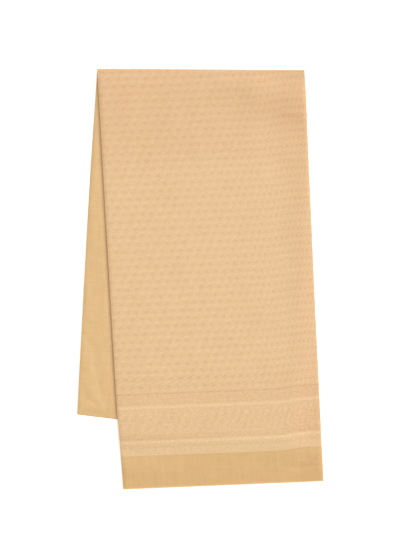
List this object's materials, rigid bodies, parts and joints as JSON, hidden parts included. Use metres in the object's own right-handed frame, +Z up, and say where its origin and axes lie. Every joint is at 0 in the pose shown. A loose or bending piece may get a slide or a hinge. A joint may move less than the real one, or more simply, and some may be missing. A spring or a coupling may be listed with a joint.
{
  "type": "folded saree",
  "caption": "Saree folded for the shelf and laid flat: a patterned front leaf with woven lines and a plain end band lies over a shorter plain back leaf.",
  "frame": {"origin": "on the surface the cloth lies on, under the middle of its outline", "axes": "+Z up from the surface, +Y from the lower end of the front leaf to the fold, +X to the right of the front leaf"},
  "size_m": [0.4408, 0.7524, 0.014],
  "materials": {
    "peach_field": "fine matte weave with a small darker repeat, slight silky sheen",
    "peach_heading": "fine matte weave with two light woven lines and thin darker ones",
    "mustard_band": "plain weave, soft sheen, lightly creased",
    "mustard_inside": "plain weave, soft sheen",
    "folded_layers": "folded edges and selvedges of the layers"
  },
  "bodies": {
    "root": {"front_field": "peach_field", "pallu_heading": "peach_heading", "end_band": "mustard_band", "top_fold": "peach_field", "underside_cloth": "peach_field", "back_leaf_face": "mustard_inside", "front_leaf_inside": "mustard_inside", "hidden_layers": "folded_layers"}
  },
  "joints": []
}
